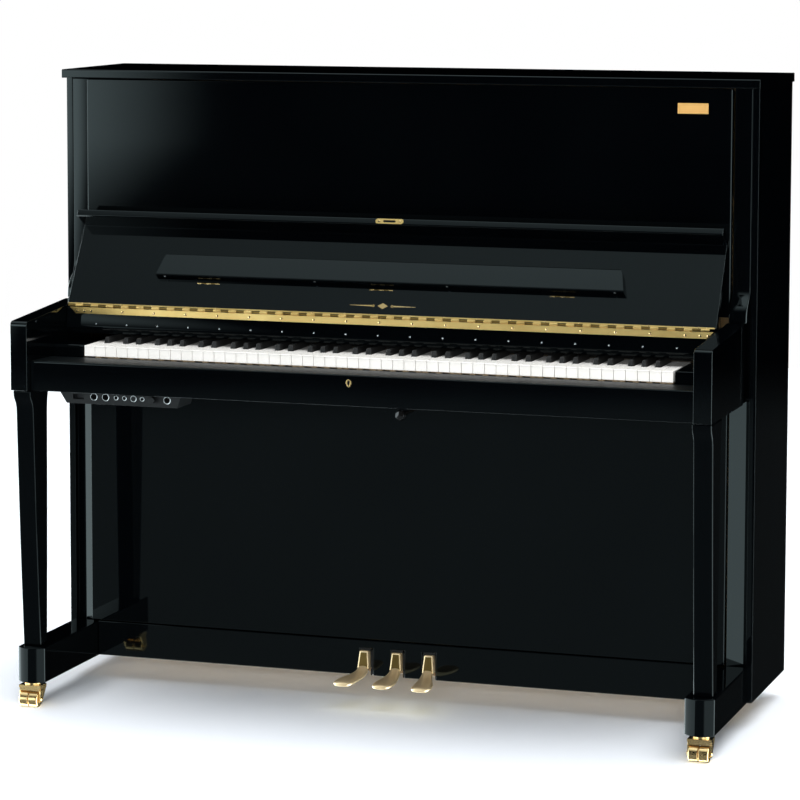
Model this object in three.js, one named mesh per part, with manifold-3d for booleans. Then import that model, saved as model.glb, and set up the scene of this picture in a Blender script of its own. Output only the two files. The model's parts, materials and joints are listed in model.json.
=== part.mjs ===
// Upright piano: polished case, 88 keys, three pedals, folding music desk and a headphone control box.
// Units are millimetres, +Z is up, the keyboard faces -Y, and the origin is on the floor under the centre.
import * as THREE from "three";
import { mergeVertices } from "three/addons/utils/BufferGeometryUtils.js";
import Module from "manifold-3d";

const wasm = await Module();
wasm.setup();

// ---- driving dimensions ----
const LENGTH = 1490;
const DEPTH = 650;
const HEIGHT = 1300;
const FRONT = -DEPTH / 2;
const BACK = DEPTH / 2;
const GAP = 0.3;

const LID_THICKNESS = 18;
const LID_OVERHANG = 17;
const CASE_HALF = 741;
const CASE_FRONT = 3.5;
const CASE_BOTTOM = 52;
const SIDE_THICKNESS = 27;
const SIDE_INNER = CASE_HALF - SIDE_THICKNESS;
const CASE_TOP = HEIGHT - LID_THICKNESS - GAP;

const COLUMN_INNER = 692;
const COLUMN_OUTER = 728;
const COLUMN_DEPTH = 22;
const STILE_INNER = 688;
const STILE_SPLAY = 17;
const PANEL_FRONT = -10;
const PANEL_THICKNESS = 18;

const BED_BOTTOM = 659;
const BED_TOP = 697;
const BED_BACK = 110;
const SLIP_TOP = 720.5;

const ARM_INNER = 690;
const ARM_OUTER = 726;
const ARM_TOP = 802;
const ARM_TOP_BACK = 820;

const LEG_INNER = 686;
const LEG_OUTER = 724.5;
const TOE_INNER = 672;
const TOE_OUTER = 731;
const TOE_TOP = 124;
const TOE_BOTTOM = 50;
const TOE_FRONT = -300;

const WHITE_COUNT = 52;
const KEY_PITCH = 23.85;
const KEY_GAP = 0.9;
const KEY_FRONT = -193.5;
const KEY_TOP = 741;
const KEY_HEIGHT = 22;
const KEY_HEAD = 50;
const BLACK_TOP = 753;
const TAIL_BOTTOM = 710;
const TAIL_TOP = 726;
const TAIL_END = 120;
const PIVOT_Y = 20;
const TIE_TOP = 703;
const NAMEBOARD_FACE = -52;
const KEYS_LEFT = -WHITE_COUNT * KEY_PITCH / 2;
const LOWEST = 9;
const HIGHEST = 96;
const MIDDLE_FROM = 48;
const MIDDLE_TO = 59;

const HINGE_Y = -124;
const HINGE_Z = 815;
const FALL_LEAN = 0.53;
const FALL_LENGTH = 184;
const FALL_THICKNESS = 15;
const LIP_DEPTH = 48;
const LIP_THICKNESS = 15;

const DESK_FROM = 67;
const DESK_TO = 119;
const DESK_THICKNESS = 18;
const DESK_THIN = 12;
const DESK_HALF = 498;
const DESK_SLANT = 13;

const PEDAL_SPACING = 68;
const PEDAL_AXIS_Y = 60;
const PEDAL_AXIS_Z = 95;
const ROD_Y = 150;
const ROD_WIDTH = 8;

const FRAME_FRONT = 235;
const STRING_Y = 171;

const CASTER_X = 703;
const FRONT_CASTER_Y = -278;
const REAR_CASTER_Y = 285;
const REAR_CASTER_X = 676;
const WHEEL_RADIUS = 16;
const WHEEL_WIDTH = 40;

// ---- materials ----
const finish = (color, roughness, metalness) =>
  new THREE.MeshStandardMaterial({ color, roughness, metalness });
const polish = finish(0x0b0d0d, 0.08, 0);
const brass = finish(0xc9a86a, 0.25, 1);
const ivory = finish(0xf4f2ea, 0.3, 0);
const ebony = finish(0x161616, 0.45, 0);
const spruce = finish(0xd8b98a, 0.6, 0);
const timber = finish(0xb58d5e, 0.65, 0);
const gold = finish(0xb08d3e, 0.45, 0.7);
const steel = finish(0xb8bcc0, 0.3, 1);
const plastic = finish(0x17181a, 0.5, 0);
const feltMaterial = finish(0xe6e0d0, 0.95, 0);

// ---- shape helpers ----
// Outline from corner points; a third number rounds that corner with that radius.
function outline(points) {
  const shape = new THREE.Shape();
  points.forEach((point, i) => {
    const here = new THREE.Vector2(point[0], point[1]);
    const radius = point[2] ?? 0;
    if (radius === 0) {
      if (i === 0) shape.moveTo(here.x, here.y);
      else shape.lineTo(here.x, here.y);
      return;
    }
    const before = points[(i + points.length - 1) % points.length];
    const after = points[(i + 1) % points.length];
    const enter = new THREE.Vector2(before[0], before[1]).sub(here).setLength(radius).add(here);
    const leave = new THREE.Vector2(after[0], after[1]).sub(here).setLength(radius).add(here);
    if (i === 0) shape.moveTo(enter.x, enter.y);
    else shape.lineTo(enter.x, enter.y);
    shape.quadraticCurveTo(here.x, here.y, leave.x, leave.y);
  });
  shape.closePath();
  return shape;
}

// A solid of the shape's outline between two values of the third axis.
function prism(shape, from, to, segments = 3) {
  const geometry = new THREE.ExtrudeGeometry(shape, {
    depth: to - from,
    bevelEnabled: false,
    curveSegments: segments,
  });
  return geometry.translate(0, 0, from);
}

// Shape drawn in (y, z), running along X.
function alongX(shape, x0, x1, segments) {
  const turn = new THREE.Matrix4().makeBasis(
    new THREE.Vector3(0, 1, 0),
    new THREE.Vector3(0, 0, 1),
    new THREE.Vector3(1, 0, 0),
  );
  return prism(shape, x0, x1, segments).applyMatrix4(turn);
}

// Shape drawn in (x, y), running along Z.
const alongZ = (shape, z0, z1, segments) => prism(shape, z0, z1, segments);

const block = (x0, x1, y0, y1, z0, z1) =>
  new THREE.BoxGeometry(x1 - x0, y1 - y0, z1 - z0)
    .translate((x0 + x1) / 2, (y0 + y1) / 2, (z0 + z1) / 2);

// Cylinder with its axis along X, Y or Z between two values of that axis.
function rod(axis, radius, from, to, u, v, sides = 16) {
  const geometry = new THREE.CylinderGeometry(radius, radius, to - from, sides);
  const middle = (from + to) / 2;
  if (axis === "x") return geometry.rotateZ(-Math.PI / 2).translate(middle, u, v);
  if (axis === "y") return geometry.translate(u, middle, v);
  return geometry.rotateX(Math.PI / 2).translate(u, v, middle);
}

function solidOf(geometry) {
  const bare = geometry.clone();
  bare.deleteAttribute("normal");
  bare.deleteAttribute("uv");
  const welded = mergeVertices(bare, 1e-4);
  return new wasm.Manifold(new wasm.Mesh({
    numProp: 3,
    vertProperties: new Float32Array(welded.attributes.position.array),
    triVerts: new Uint32Array(welded.index.array),
  }));
}

function geometryOf(solid) {
  const mesh = solid.getMesh();
  const geometry = new THREE.BufferGeometry();
  geometry.setAttribute("position", new THREE.BufferAttribute(new Float32Array(mesh.vertProperties), 3));
  geometry.setIndex(new THREE.BufferAttribute(new Uint32Array(mesh.triVerts), 1));
  geometry.computeVertexNormals();
  return geometry;
}

const join = (...pieces) =>
  geometryOf(pieces.map(solidOf).reduce((all, piece) => all.add(piece)));
const cut = (body, ...tools) =>
  geometryOf(tools.map(solidOf).reduce((rest, tool) => rest.subtract(tool), solidOf(body)));

const piano = new THREE.Group();

function add(name, geometry, material) {
  const mesh = new THREE.Mesh(geometry, material);
  mesh.name = name;
  piano.add(mesh);
  return mesh;
}

// Adds a left and a right copy; build(side) gets -1 for the left and +1 for the right.
function addPair(prefix, name, build, material) {
  for (const [word, side] of [["left", -1], ["right", 1]]) {
    add(prefix + word + "_" + name, build(side), material);
  }
}

// The pair of x limits between inner and outer on one side, in rising order.
const span = (side, inner, outer) => (side < 0 ? [-outer, -inner] : [inner, outer]);

// ---- case ----
// Side of the case. Its front edge is rebated for the column, and below the key bed it carries a stile
// whose face turns slightly outwards.
function sidePanel(side) {
  const rebate = CASE_FRONT + COLUMN_DEPTH;
  const [x0, x1] = span(side, SIDE_INNER, CASE_HALF);
  const [f0, f1] = span(side, COLUMN_OUTER, CASE_HALF);
  const panel = block(x0, x1, rebate + GAP, BACK, CASE_BOTTOM, CASE_TOP);
  const frontEdge = block(f0, f1, CASE_FRONT, rebate + 1, CASE_BOTTOM, CASE_TOP);
  const stile = alongZ(outline([
    [side * STILE_INNER, CASE_FRONT], [side * (COLUMN_OUTER + 1), CASE_FRONT + STILE_SPLAY],
    [side * (COLUMN_OUTER + 1), rebate + 1], [side * STILE_INNER, rebate + 1],
  ]), CASE_BOTTOM, BED_BOTTOM - GAP);
  return join(panel, frontEdge, stile);
}

// Pilaster beside the upper panel, with a foot that flares forward onto the arm.
function column(side) {
  const [x0, x1] = span(side, COLUMN_INNER, COLUMN_OUTER - GAP);
  const foot = ARM_TOP_BACK + GAP;
  const shape = new THREE.Shape();
  shape.moveTo(CASE_FRONT + COLUMN_DEPTH, foot);
  shape.lineTo(CASE_FRONT + COLUMN_DEPTH, CASE_TOP);
  shape.lineTo(CASE_FRONT, CASE_TOP);
  shape.lineTo(CASE_FRONT, foot + 74);
  shape.bezierCurveTo(CASE_FRONT, foot + 40, -32, foot + 44, -32, foot + 8);
  shape.lineTo(-32, foot);
  shape.closePath();
  return alongX(shape, x0, x1, 8);
}

function arm(side) {
  const [x0, x1] = span(side, ARM_INNER, ARM_OUTER);
  const shape = new THREE.Shape();
  shape.moveTo(CASE_FRONT - GAP, BED_BOTTOM + 1);
  shape.lineTo(CASE_FRONT - GAP, ARM_TOP_BACK);
  shape.lineTo(-45, ARM_TOP_BACK);
  shape.lineTo(FRONT + 10, ARM_TOP);
  shape.quadraticCurveTo(FRONT, ARM_TOP - 0.5, FRONT, ARM_TOP - 10);
  shape.lineTo(FRONT, BED_BOTTOM + 1);
  shape.closePath();
  const [r0, r1] = span(side, ARM_OUTER - 4, ARM_OUTER + 10);
  return cut(
    alongX(shape, x0, x1, 5),
    block(r0, r1, -46, 10, BED_BOTTOM - 5, ARM_TOP_BACK + 5),
  );
}

function keyBed() {
  const wide = SIDE_INNER - GAP;
  const narrow = ARM_INNER - GAP;
  const back = CASE_FRONT + GAP;
  const front = FRONT + 21.3;
  const board = alongZ(outline([
    [-narrow, front], [narrow, front], [narrow, back], [wide, back],
    [wide, BED_BACK], [-wide, BED_BACK], [-wide, back], [-narrow, back],
  ]), BED_BOTTOM, BED_TOP);
  const reach = -KEYS_LEFT;
  const frontRail = block(-reach, reach, -176, -160, BED_TOP - 1, 707.5);
  const balanceRail = block(-reach, reach, PIVOT_Y - 5, PIVOT_Y + 5, BED_TOP - 1, TAIL_BOTTOM - GAP);
  const backRail = block(-reach, reach, BED_BACK - 5, BED_BACK, BED_TOP - 1, TAIL_BOTTOM - GAP);
  return join(board, frontRail, balanceRail, backRail);
}

// Fascia in front of the keys: an angle section that caps the front edge of the key bed.
function keySlip() {
  const face = FRONT + 18.5;
  return alongX(outline([
    [face, BED_BOTTOM], [face + 2.5, BED_BOTTOM], [face + 2.5, BED_TOP + GAP],
    [-199, BED_TOP + GAP], [-199, SLIP_TOP - 3.5], [face, SLIP_TOP, 4],
  ]), -ARM_INNER + GAP, ARM_INNER - GAP);
}

function keyBlock(side) {
  const [x0, x1] = span(side, WHITE_COUNT * KEY_PITCH / 2 + 2.5, ARM_INNER - GAP);
  return alongX(outline([
    [-188.5, BED_TOP + GAP], [NAMEBOARD_FACE - GAP, BED_TOP + GAP],
    [NAMEBOARD_FACE - GAP, KEY_TOP], [-188.5, KEY_TOP, 3],
  ]), x0, x1);
}

// Board over the keys, with a nose along its front; the fallboard hinge is screwed above the nose.
function nameboard() {
  const bottom = BLACK_TOP + 1.5;
  return alongX(outline([
    [-30, bottom], [-30, HINGE_Z - 5], [HINGE_Y + 3.5, HINGE_Z - 5], [HINGE_Y + 3.5, HINGE_Z - 22],
    [HINGE_Y - 3.5, 771, 3], [HINGE_Y - 2, 766, 2], [-100, 764], [-100, bottom],
  ]), -ARM_INNER + GAP, ARM_INNER - GAP);
}

// Curved front post between the arm and the toe block.
function leg(side) {
  const [x0, x1] = span(side, LEG_INNER, LEG_OUTER);
  const top = BED_BOTTOM - GAP;
  const shape = new THREE.Shape();
  shape.moveTo(-318, top);
  shape.bezierCurveTo(-318, top - 24, -303, top - 20, -303, top - 46);
  shape.quadraticCurveTo(-292, 330, -277, TOE_TOP + GAP);
  shape.lineTo(-243, TOE_TOP + GAP);
  shape.quadraticCurveTo(-235, 380, -233, top - 52);
  shape.quadraticCurveTo(-232, top - 18, -222, top);
  shape.closePath();
  return alongX(shape, x0, x1, 6);
}

// Foot rail from the leg back to the case, with a bowed front end.
function toeBlock(side) {
  const [x0, x1] = span(side, TOE_INNER, TOE_OUTER);
  const shape = new THREE.Shape();
  const back = CASE_FRONT - GAP;
  shape.moveTo(x0, back);
  shape.lineTo(x0, TOE_FRONT + 10);
  shape.quadraticCurveTo((x0 + x1) / 2, TOE_FRONT - 16, x1, TOE_FRONT + 10);
  shape.lineTo(x1, back);
  shape.closePath();
  const body = alongZ(shape, TOE_BOTTOM, TOE_TOP, 8);
  const centre = side * CASTER_X;
  return cut(body, rod("z", 6, TOE_BOTTOM - 1, TOE_BOTTOM + 24, centre, FRONT_CASTER_Y, 12));
}

function bottomRail() {
  const body = block(
    -TOE_INNER + GAP, TOE_INNER - GAP, PANEL_FRONT, PANEL_FRONT + PANEL_THICKNESS + 3, CASE_BOTTOM, 125.5);
  const notches = [-1, 0, 1].map((i) =>
    block(i * PEDAL_SPACING - 15, i * PEDAL_SPACING + 15, -20, 20, CASE_BOTTOM - 5, 109));
  return cut(body, ...notches);
}

const bottomBoard = () =>
  block(-SIDE_INNER + GAP, SIDE_INNER - GAP, 27, FRAME_FRONT - GAP, CASE_BOTTOM, 78);

const upperPanel = () =>
  alongX(outline([
    [PANEL_FRONT, 828], [PANEL_FRONT + PANEL_THICKNESS, 828],
    [PANEL_FRONT + PANEL_THICKNESS, CASE_TOP - 1], [PANEL_FRONT, CASE_TOP - 1],
  ]), -COLUMN_INNER + 2.5, COLUMN_INNER - 2.5);

const lowerPanel = () =>
  block(-STILE_INNER + 2, STILE_INNER - 2, PANEL_FRONT, PANEL_FRONT + PANEL_THICKNESS, 128, 652);

// ---- back, soundboard, plate and strings ----
function backFrame() {
  const width = SIDE_INNER - GAP;
  const top = block(-width, width, FRAME_FRONT, BACK, 1130, CASE_TOP - GAP);
  const bottom = block(-width, width, FRAME_FRONT, BACK, CASE_BOTTOM, 170);
  const posts = [-2, -1, 0, 1, 2].map((i) => {
    const x = i * (width - 45) / 2;
    return block(x - 45, x + 45, FRAME_FRONT + 5, BACK - 5, 160, 1140);
  });
  const brackets = [-1, 1].flatMap((side) => {
    const x = side * REAR_CASTER_X;
    const cheek = (c) => block(c - 2, c + 2, REAR_CASTER_Y - 12, REAR_CASTER_Y + 12, 8, CASE_BOTTOM + 1);
    return [cheek(x - 24), cheek(x + 24), rod("x", 3, x - 25, x + 25, REAR_CASTER_Y, WHEEL_RADIUS, 10)];
  });
  return join(top, bottom, ...posts, ...brackets);
}

const soundboard = () => block(-690, 690, 224, FRAME_FRONT - GAP, 110, 1125);

// Cast plate with a web along the top and four open bays between its struts.
function ironPlate() {
  const body = block(-695, 695, 190, 204, 100, 1262);
  const bays = [[-650, -330], [-290, 20], [60, 330], [370, 650]].map(([x0, x1]) =>
    block(x0, x1, 180, 215, 190, 1060));
  return cut(body, ...bays);
}

const strings = () => block(-640, 640, STRING_Y, STRING_Y + 2, 210, 1200);

function actionFrame() {
  const brackets = [-620, -210, 210, 620].map((x) =>
    alongX(outline([
      [62, BED_TOP + GAP + 38], [104, BED_TOP + GAP + 38], [128, 900], [128, 1000], [100, 1010],
      [96, 900], [58, 850],
    ]), x - 5, x + 5));
  const mainRail = block(-630, 630, 98, 126, 880, 905);
  const wippenRail = block(-630, 630, 66, 96, 790, 812);
  return join(...brackets, mainRail, wippenRail);
}

// ---- lid, fallboard and music desk ----
const topLid = () =>
  alongX(outline([
    [CASE_FRONT - LID_OVERHANG, HEIGHT - LID_THICKNESS, 2],
    [BACK, HEIGHT - LID_THICKNESS], [BACK, HEIGHT], [CASE_FRONT - LID_OVERHANG, HEIGHT, 4],
  ]), -LENGTH / 2, LENGTH / 2);

// Point on the open fallboard: s along the board from the hinge, t towards the player.
function onBoard(s, t) {
  return [
    HINGE_Y + s * Math.sin(FALL_LEAN) - t * Math.cos(FALL_LEAN),
    HINGE_Z + s * Math.cos(FALL_LEAN) + t * Math.sin(FALL_LEAN),
  ];
}

const fallboard = () =>
  alongX(outline([
    [...onBoard(4, 0)], [...onBoard(4, -FALL_THICKNESS)],
    [...onBoard(FALL_LENGTH + LIP_THICKNESS, -FALL_THICKNESS), 5],
    [...onBoard(FALL_LENGTH + LIP_THICKNESS, LIP_DEPTH), 3],
    [...onBoard(FALL_LENGTH, LIP_DEPTH), 3],
    [...onBoard(FALL_LENGTH, 0)],
  ]), -687, 687);

// Barrel and upper leaf of the long hinge; most of the leaf is let into the board's lower edge.
const LEAF_HEIGHT = 5.5;
function fallboardHinge() {
  const leaf = alongX(outline([
    [...onBoard(1, 2.2)], [...onBoard(1, 0.4)],
    [...onBoard(LEAF_HEIGHT, 0.4)], [...onBoard(LEAF_HEIGHT, 2.2)],
  ]), -686, 686);
  const barrel = rod("x", 3, -686, 686, HINGE_Y - 1, HINGE_Z - 1, 12);
  return join(leaf, barrel);
}

// Folding music desk: a panel with slanted ends, thinner at the top and undercut below.
function musicDesk() {
  const reach = DESK_HALF + 10;
  const section = alongX(outline([
    [...onBoard(DESK_FROM, 0.6)], [...onBoard(DESK_TO, 0.6)],
    [...onBoard(DESK_TO, DESK_THIN), 2], [...onBoard(DESK_FROM + 2, DESK_THICKNESS), 3],
  ]), -reach, reach);
  const board = new THREE.Matrix4()
    .makeRotationX(Math.PI / 2 - FALL_LEAN)
    .setPosition(0, HINGE_Y, HINGE_Z);
  const face = prism(outline([
    [-DESK_HALF, DESK_FROM - 5], [DESK_HALF, DESK_FROM - 5],
    [DESK_HALF - DESK_SLANT, DESK_TO + 5, 16], [-DESK_HALF + DESK_SLANT, DESK_TO + 5, 16],
  ]), -5, DESK_THICKNESS + 5).applyMatrix4(board);
  return geometryOf(solidOf(section).intersect(solidOf(face)));
}

// ---- keys ----
const BLACK_NOTES = [1, 3, 6, 8, 10];
const WHITE_NOTES = [0, 2, 4, 5, 7, 9, 11];
const NOTE_NAMES = ["c", "c_sharp", "d", "d_sharp", "e", "f", "f_sharp", "g", "g_sharp", "a", "a_sharp", "b"];

// Left edge of the octave that holds a note; notes count from 0 at the lowest C below the keyboard.
const octaveLeft = (note) => KEYS_LEFT + (7 * Math.floor(note / 12) - 5) * KEY_PITCH;

// x limits of a key's narrow tail, from the five and seven equal shares of an octave.
function tailSpan(note) {
  const n = note % 12;
  const low = 3 * KEY_PITCH / 5;
  const high = 4 * KEY_PITCH / 7;
  const start = n < 5 ? n * low : 3 * KEY_PITCH + (n - 5) * high;
  const width = n < 5 ? low : high;
  return [octaveLeft(note) + start + KEY_GAP / 2, octaveLeft(note) + start + width - KEY_GAP / 2];
}

function whiteKey(note) {
  const index = WHITE_NOTES.indexOf(note % 12);
  const h0 = octaveLeft(note) + index * KEY_PITCH + KEY_GAP / 2;
  const h1 = h0 + KEY_PITCH - KEY_GAP;
  const [t0, t1] = tailSpan(note);
  const n0 = note === LOWEST ? h0 : t0;
  const n1 = note === HIGHEST ? h1 : t1;
  const step = KEY_FRONT + KEY_HEAD;
  const top = alongZ(outline([
    [h0, KEY_FRONT], [h1, KEY_FRONT], [h1, step], [n1, step],
    [n1, NAMEBOARD_FACE + 8], [n0, NAMEBOARD_FACE + 8], [n0, step], [h0, step],
  ]), KEY_TOP - KEY_HEIGHT, KEY_TOP);
  const tail = block(t0 + 0.2, t1 - 0.2, step - 10, TAIL_END, TAIL_BOTTOM, TAIL_TOP);
  return [top, tail];
}

function blackKey(note) {
  const [t0, t1] = tailSpan(note);
  const front = KEY_FRONT + KEY_HEAD + 1.2;
  const cap = alongX(outline([
    [front, TAIL_TOP - 4], [NAMEBOARD_FACE + 6, TAIL_TOP - 4], [NAMEBOARD_FACE + 6, BLACK_TOP],
    [front + 6, BLACK_TOP, 2], [front + 1, KEY_TOP],
  ]), t0 + 0.8, t1 - 0.8, 2);
  const tail = block(t0 + 0.2, t1 - 0.2, front, TAIL_END, TAIL_BOTTOM, TAIL_TOP);
  return [cap, tail];
}

const TIE_DEPTH = 14;

// All keys of one colour between two notes, each with a post down to a tie bar under the tails.
function keyBank(from, to, notes, build, tieFront) {
  const pieces = [];
  const tails = [];
  for (let note = from; note <= to; note += 1) {
    if (!notes.includes(note % 12)) continue;
    const [t0, t1] = tailSpan(note);
    tails.push(t0, t1);
    pieces.push(...build(note));
    pieces.push(block(t0 + 0.4, t1 - 0.4, tieFront, tieFront + TIE_DEPTH, TIE_TOP - 1, TAIL_BOTTOM + 2));
  }
  const left = Math.min(...tails) + 0.3;
  const right = Math.max(...tails) - 0.3;
  pieces.push(block(left, right, tieFront, tieFront + TIE_DEPTH, TIE_TOP - 4.5, TIE_TOP));
  return join(...pieces);
}

function addKeys() {
  for (const [bank, from, to] of [["bass", LOWEST, MIDDLE_FROM - 1], ["treble", MIDDLE_TO + 1, HIGHEST]]) {
    add(bank + "_white_keys", keyBank(from, to, WHITE_NOTES, whiteKey, 60), ivory);
    add(bank + "_black_keys", keyBank(from, to, BLACK_NOTES, blackKey, 84), ebony);
  }
  for (let note = MIDDLE_FROM; note <= MIDDLE_TO; note += 1) {
    const black = BLACK_NOTES.includes(note % 12);
    const pieces = black ? blackKey(note) : whiteKey(note);
    add("key_" + NOTE_NAMES[note % 12] + "4", join(...pieces), black ? ebony : ivory);
  }
}

// ---- pedals and the rods that they lift ----
function pedal(index) {
  const x = index * PEDAL_SPACING;
  const lean = index * 12;
  const lever = block(x - 8, x + 8, -2, ROD_Y + 10, PEDAL_AXIS_Z - 7, PEDAL_AXIS_Z + 7);
  const box = alongX(outline([
    [-20, 70], [2, 70], [2, PEDAL_AXIS_Z + 7], [-14, PEDAL_AXIS_Z + 7, 3],
  ]), x - 11, x + 11);
  const neck = alongX(outline([
    [-74, 53], [-18, 67], [-12, 71], [-12, 82], [-22, 80], [-34, 68], [-74, 61],
  ]), x - 8, x + 8);
  const foot = new THREE.Shape();
  foot.moveTo(x - 8, -34);
  foot.bezierCurveTo(x - 9, -70, x + lean - 19, -80, x + lean - 18, -106);
  foot.bezierCurveTo(x + lean - 15, -124, x + lean + 15, -124, x + lean + 18, -106);
  foot.bezierCurveTo(x + lean + 19, -80, x + 9, -70, x + 8, -34);
  foot.closePath();
  const pad = alongZ(foot, 53, 61, 5);
  const pin = rod("x", 4, x - 14, x + 14, PEDAL_AXIS_Y, PEDAL_AXIS_Z, 10);
  return join(lever, box, neck, pad, pin);
}

const ROD_FOOT = PEDAL_AXIS_Z + 7 + 0.5;
const upright = (x, z0, z1) =>
  block(x - ROD_WIDTH / 2, x + ROD_WIDTH / 2, ROD_Y - ROD_WIDTH / 2, ROD_Y + ROD_WIDTH / 2, z0, z1);
const crossbar = (x0, x1, z) =>
  block(x0, x1, ROD_Y - ROD_WIDTH / 2, ROD_Y + ROD_WIDTH / 2, z - ROD_WIDTH / 2, z + ROD_WIDTH / 2);

// Soft pedal: its rod lifts the rail that carries the hammer shanks at rest.
function hammerRestRail() {
  const riser = -676;
  return join(
    upright(-PEDAL_SPACING, ROD_FOOT, 264),
    crossbar(riser - 4, -PEDAL_SPACING + 4, 260),
    upright(riser, 256, 979),
    block(riser - 4, riser + 4, 40, ROD_Y + 4, 962, 979),
    block(riser - 4, 650, 40, 54, 962, 979),
  );
}

// Middle pedal: its rod moves the felt strip between hammers and strings.
function mufflerRail() {
  const riser = -656;
  return join(
    upright(0, ROD_FOOT, 304),
    crossbar(riser - 4, 4, 300),
    upright(riser, 296, 1090),
    block(riser - 4, 650, ROD_Y - 4, ROD_Y + 4, 1074, 1090),
  );
}

// Sustain pedal: its rod lifts the rail that takes the dampers off the strings.
const damperLiftRail = () => join(
  upright(PEDAL_SPACING, ROD_FOOT, 855),
  block(-600, 640, ROD_Y - 6, ROD_Y + 6, 845, 860),
);

// ---- casters ----
function casterFork(side) {
  const x = side * CASTER_X;
  const y = FRONT_CASTER_Y;
  const plate = rod("z", 17, TOE_BOTTOM - 6, TOE_BOTTOM - GAP, x, y, 20);
  const stem = rod("z", 5, TOE_BOTTOM - 3, TOE_BOTTOM + 22, x, y, 12);
  const crown = block(x - 23.5, x + 23.5, y - 20, y + 14, TOE_BOTTOM - 11, TOE_BOTTOM - 5);
  const hood = block(x - 22, x + 22, y - 20, y - 17, 33.5, TOE_BOTTOM - 8);
  const cheek = (c) => alongX(outline([
    [y - 14, TOE_BOTTOM - 5], [y - 22, WHEEL_RADIUS - 5, 4], [y - 9, WHEEL_RADIUS - 8, 4],
    [y + 14, TOE_BOTTOM - 11], [y + 14, TOE_BOTTOM - 5],
  ]), c - 1.5, c + 1.5);
  const axle = rod("x", 3, x - 24, x + 24, y - 14, WHEEL_RADIUS, 10);
  return join(plate, stem, crown, hood, cheek(x - 22), cheek(x + 22), axle);
}

// Twin rollers on a common hub, with a hollow for the axle.
function casterWheel(x, y, z = WHEEL_RADIUS) {
  const half = WHEEL_WIDTH / 2;
  const groove = 1.2;
  const profile = [
    [3.5, -half], [WHEEL_RADIUS - 1.5, -half], [WHEEL_RADIUS, -half + 1.5], [WHEEL_RADIUS, -groove],
    [WHEEL_RADIUS - 4, -groove], [WHEEL_RADIUS - 4, groove], [WHEEL_RADIUS, groove],
    [WHEEL_RADIUS, half - 1.5], [WHEEL_RADIUS - 1.5, half], [3.5, half], [3.5, -half],
  ].map(([r, h]) => new THREE.Vector2(r, h));
  return new THREE.LatheGeometry(profile, 28).rotateZ(-Math.PI / 2).translate(x, y, z);
}

// ---- control box, buttons and knobs ----
const BOX_LEFT = -636;
const BOX_RIGHT = -370;
const BOX_Y = -284;
const BOX_BOTTOM = 634;
const JACK_Z = 649;
const VOLUME_X = -430;
const POWER_X = -473;
function controlBox() {
  const shape = outline([
    [BOX_LEFT, BED_BOTTOM - GAP], [BOX_LEFT + 16, BOX_BOTTOM],
    [BOX_RIGHT - 8, BOX_BOTTOM], [BOX_RIGHT, BED_BOTTOM - GAP],
  ]);
  const turn = new THREE.Matrix4().makeBasis(
    new THREE.Vector3(1, 0, 0), new THREE.Vector3(0, 0, 1), new THREE.Vector3(0, -1, 0));
  const body = prism(shape, 0, 74).applyMatrix4(turn).translate(0, BOX_Y + 74, 0);
  const port = (x, radius) => rod("y", radius, BOX_Y - 1, BOX_Y + 12, x, JACK_Z, 16);
  return cut(
    body,
    port(-560, 6.5), port(-534, 6.5), port(-400, 6.5),
    port(-511, 3.6), port(-493, 3.6), port(-454, 3.6),
    block(-606, -582, BOX_Y - 1, BOX_Y + 10, JACK_Z - 6, JACK_Z + 4),
    port(VOLUME_X, 3), port(POWER_X, 5.6),
  );
}
const volumeKnob = () => join(
  rod("y", 6.5, BOX_Y - 12, BOX_Y - 0.5, VOLUME_X, JACK_Z, 20),
  rod("y", 2.2, BOX_Y - 2, BOX_Y + 8, VOLUME_X, JACK_Z, 12),
);
const powerButton = () => rod("y", 4.9, BOX_Y - 3, BOX_Y + 7, POWER_X, JACK_Z, 16);

// Pull knob of the practice lever, on a round bar under the key bed.
const KNOB_X = 100;
const KNOB_Z = 645;
function muteKnob() {
  const profile = [[0, 0], [4, 0], [5, 4], [8, 8], [11, 16], [11, 26], [8.5, 32], [0, 34]]
    .map(([r, h]) => new THREE.Vector2(r, h));
  const head = new THREE.LatheGeometry(profile, 20).rotateX(Math.PI).translate(KNOB_X, -276, KNOB_Z);
  return join(head, rod("y", 4, -280, -160, KNOB_X, KNOB_Z, 12));
}

// ---- assembly ----
addPair("", "side_panel", sidePanel, polish);
addPair("", "column", column, polish);
addPair("", "arm", arm, polish);
addPair("", "leg", leg, polish);
addPair("", "toe_block", toeBlock, polish);
addPair("", "key_block", keyBlock, polish);
add("key_bed", keyBed(), polish);
add("key_slip", keySlip(), polish);
add("nameboard", nameboard(), polish);
add("bottom_board", bottomBoard(), timber);
add("bottom_rail", bottomRail(), polish);
add("upper_panel", upperPanel(), polish);
add("lower_panel", lowerPanel(), polish);
add("back_frame", backFrame(), timber);
add("soundboard", soundboard(), spruce);
add("iron_plate", ironPlate(), gold);
add("strings", strings(), steel);
add("action_frame", actionFrame(), timber);
add("top_lid", topLid(), polish);
add("fallboard", fallboard(), polish);
add("fallboard_hinge", fallboardHinge(), brass);
add("music_desk", musicDesk(), polish);
addKeys();
add("soft_pedal", pedal(-1), brass);
add("muffler_pedal", pedal(0), brass);
add("sustain_pedal", pedal(1), brass);
add("hammer_rest_rail", hammerRestRail(), timber);
add("muffler_rail", mufflerRail(), feltMaterial);
add("damper_lift_rail", damperLiftRail(), timber);
addPair("front_", "caster_fork", casterFork, brass);
addPair("front_", "caster_wheel", (side) => casterWheel(side * CASTER_X, FRONT_CASTER_Y - 14), brass);
addPair("rear_", "caster_wheel", (side) => casterWheel(side * REAR_CASTER_X, REAR_CASTER_Y), steel);
add("control_box", controlBox(), plastic);
add("volume_knob", volumeKnob(), plastic);
add("power_button", powerButton(), plastic);
add("mute_knob", muteKnob(), ebony);

export default piano;
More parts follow.
